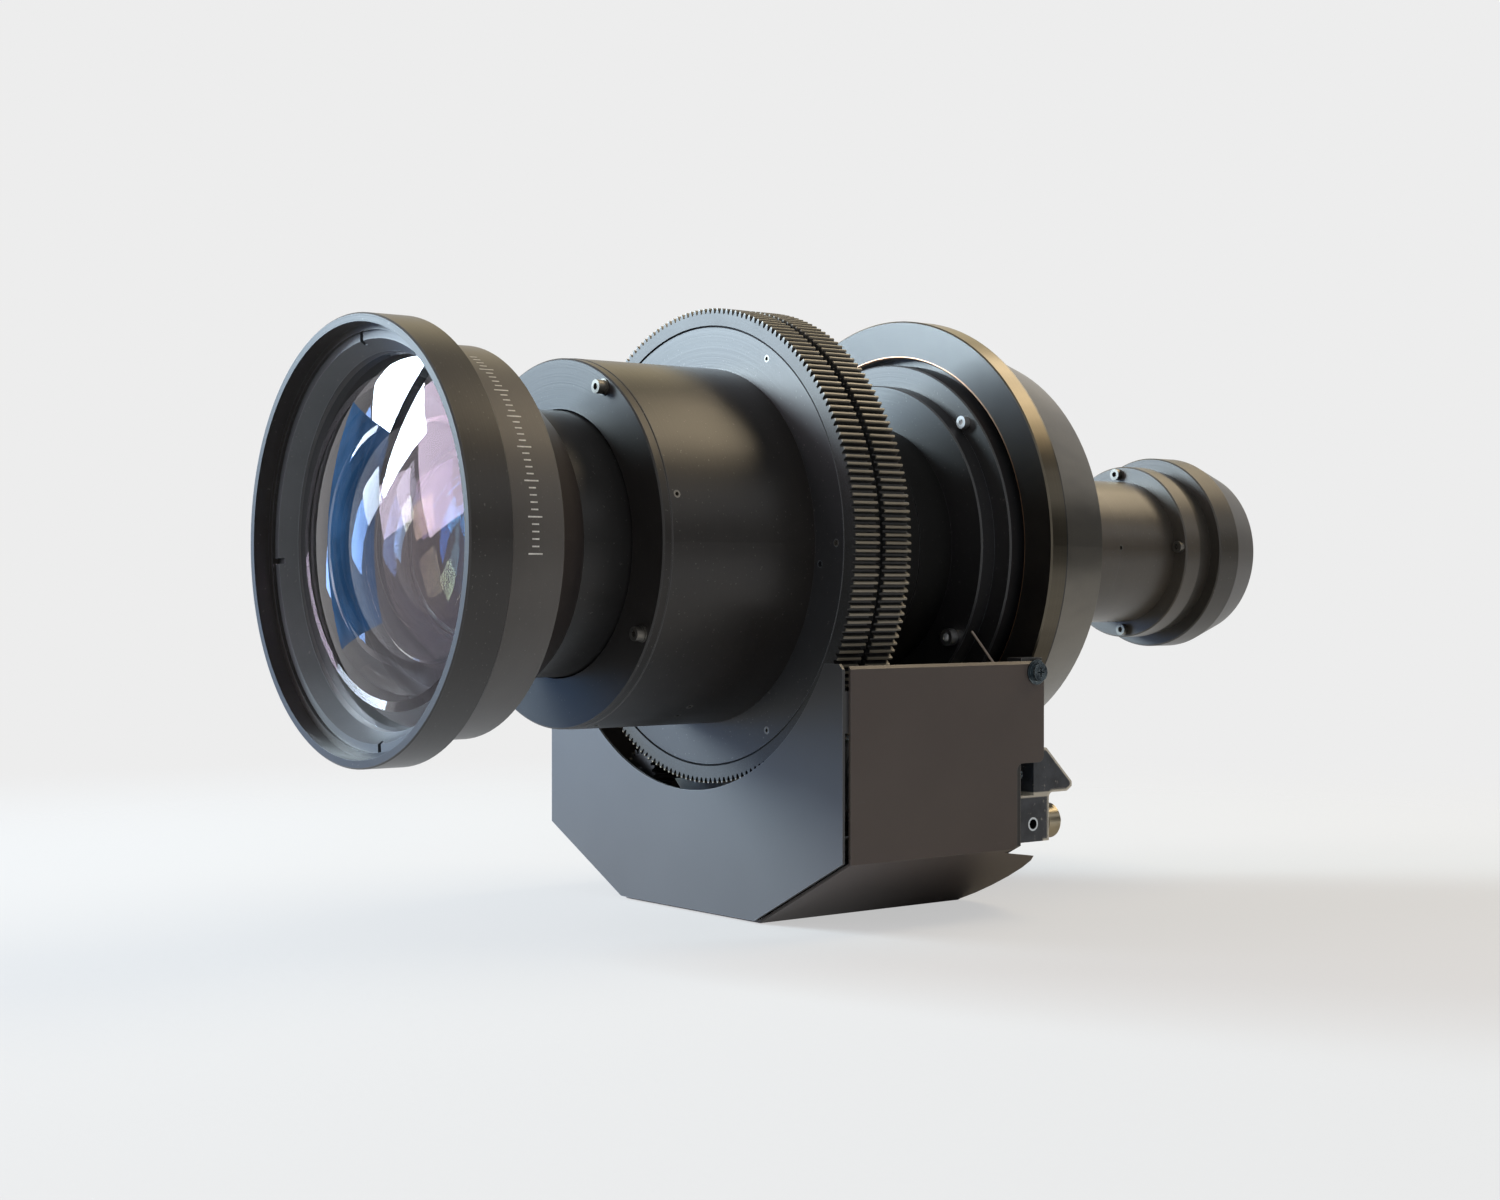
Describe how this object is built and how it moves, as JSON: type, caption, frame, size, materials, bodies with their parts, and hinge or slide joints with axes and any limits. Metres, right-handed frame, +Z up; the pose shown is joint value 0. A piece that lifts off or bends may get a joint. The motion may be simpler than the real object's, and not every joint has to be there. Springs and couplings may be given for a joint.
{
  "type": "projection lens",
  "caption": "Motorised zoom projection lens: turned barrels, toothed focus and zoom rings on cam sleeves, a rear mounting flange and a sheet metal drive housing.",
  "frame": {"origin": "on the optical axis, in the plane of the mounting flange's rear seat face", "axes": "+Y along the optical axis from the front element to the rear cap, +Z up with the drive housing below the axis, +X towards the guide bracket"},
  "size_m": [0.2118, 0.4762, 0.2556],
  "materials": {
    "black_anodised": "black anodised, satin",
    "gear_anodised": "dark anodised with worn tooth tips",
    "flange_metal": "turned and dark anodised",
    "inner_black": "matt black anodised",
    "bare_aluminium": "bare turned",
    "ring_metal": "grey anodised",
    "sheet_black": "satin black coated sheet",
    "chassis_steel": "zinc plated",
    "bracket_black": "black anodised, machined edges",
    "screw_steel": "machine screws",
    "pin_bronze": "turned bronze",
    "motor_steel": "motor housings",
    "coated_glass": "multi-coated optical glass",
    "connector_plastic": "moulded, matt",
    "lead_insulation": "insulated wire"
  },
  "bodies": {
    "chassis": {"core_tube": "bare_aluminium", "barrel_front_plate": "black_anodised", "main_barrel": "black_anodised", "barrel_cap_screws": "screw_steel", "barrel_grub_screws": "screw_steel", "cover_disc": "black_anodised", "cover_disc_screws": "screw_steel", "divider_ring": "black_anodised", "core_cover": "black_anodised", "hub_disc": "black_anodised", "hub_ring": "black_anodised", "hub_screws": "screw_steel", "mount_flange": "flange_metal", "rear_tube": "black_anodised", "rear_inner_element": "coated_glass", "rear_inner_retainer": "ring_metal", "rear_collar": "black_anodised", "rear_collar_screws": "screw_steel", "rear_cap": "black_anodised", "rear_element": "coated_glass", "rear_retaining_ring": "ring_metal", "housing_front": "sheet_black", "housing_cover": "sheet_black", "housing_screws": "screw_steel", "drive_chassis": "chassis_steel", "chassis_standoffs": "bare_aluminium", "motor_plate": "bare_aluminium", "motor_pillars": "bare_aluminium", "focus_motor": "motor_steel", "zoom_motor": "motor_steel", "guide_bracket": "bracket_black", "guide_pin": "pin_bronze", "rear_connector": "connector_plastic", "motor_leads": "lead_insulation"},
    "front_group": {"front_hood": "black_anodised", "glass_retaining_ring": "ring_metal", "name_ring": "black_anodised", "front_element": "coated_glass", "front_spacer": "inner_black", "second_element": "coated_glass", "front_cell": "black_anodised", "third_element": "coated_glass", "neck_tube": "black_anodised", "focus_followers": "pin_bronze"},
    "focus_ring": {"focus_gear_ring": "gear_anodised", "focus_cam_sleeve": "bare_aluminium", "focus_ring_screws": "screw_steel"},
    "zoom_ring": {"zoom_gear_ring": "gear_anodised", "zoom_cam_sleeve": "bare_aluminium", "zoom_ring_screws": "screw_steel"},
    "zoom_group_a": {"zoom_a_cell": "inner_black", "zoom_a_element": "coated_glass", "zoom_a_retainer": "ring_metal", "zoom_a_followers": "pin_bronze"},
    "zoom_group_b": {"zoom_b_cell": "inner_black", "zoom_b_element": "coated_glass", "zoom_b_retainer": "ring_metal", "zoom_b_followers": "pin_bronze"},
    "focus_pinion": {"focus_pinion": "pin_bronze"},
    "zoom_pinion": {"zoom_pinion": "pin_bronze"}
  },
  "joints": [
    {"name": "focus_ring_turn", "type": "hinge", "parent": "chassis", "child": "focus_ring", "pos_m": [0, 0, 0], "axis": [0, 1, 0], "range_deg": [-30, 30]},
    {"name": "front_group_slide", "type": "slide", "parent": "chassis", "child": "front_group", "axis": [0, 1, 0], "range_m": [-0.005, 0.005]},
    {"name": "focus_pinion_turn", "type": "hinge", "parent": "chassis", "child": "focus_pinion", "pos_m": [-0.04528, 0, -0.09915], "axis": [0, 1, 0], "range_deg": [-298, 298]},
    {"name": "zoom_ring_turn", "type": "hinge", "parent": "chassis", "child": "zoom_ring", "pos_m": [0, 0, 0], "axis": [0, 1, 0], "range_deg": [-40, 40]},
    {"name": "zoom_a_slide", "type": "slide", "parent": "chassis", "child": "zoom_group_a", "axis": [0, 1, 0], "range_m": [-0.0091, 0.0091]},
    {"name": "zoom_b_slide", "type": "slide", "parent": "chassis", "child": "zoom_group_b", "axis": [0, 1, 0], "range_m": [-0.0051, 0.0051]},
    {"name": "zoom_pinion_turn", "type": "hinge", "parent": "chassis", "child": "zoom_pinion", "pos_m": [0.04528, 0, -0.09915], "axis": [0, 1, 0], "range_deg": [-397, 397]}
  ],
  "couplings": [
    {"joint": "front_group_slide", "follows": "focus_ring_turn", "m_per_rad": 0.0095493},
    {"joint": "focus_pinion_turn", "follows": "focus_ring_turn", "ratio": -9.9},
    {"joint": "zoom_a_slide", "follows": "zoom_ring_turn", "m_per_rad": 0.012892},
    {"joint": "zoom_b_slide", "follows": "zoom_ring_turn", "m_per_rad": -0.007162},
    {"joint": "zoom_pinion_turn", "follows": "zoom_ring_turn", "ratio": -9.9}
  ]
}
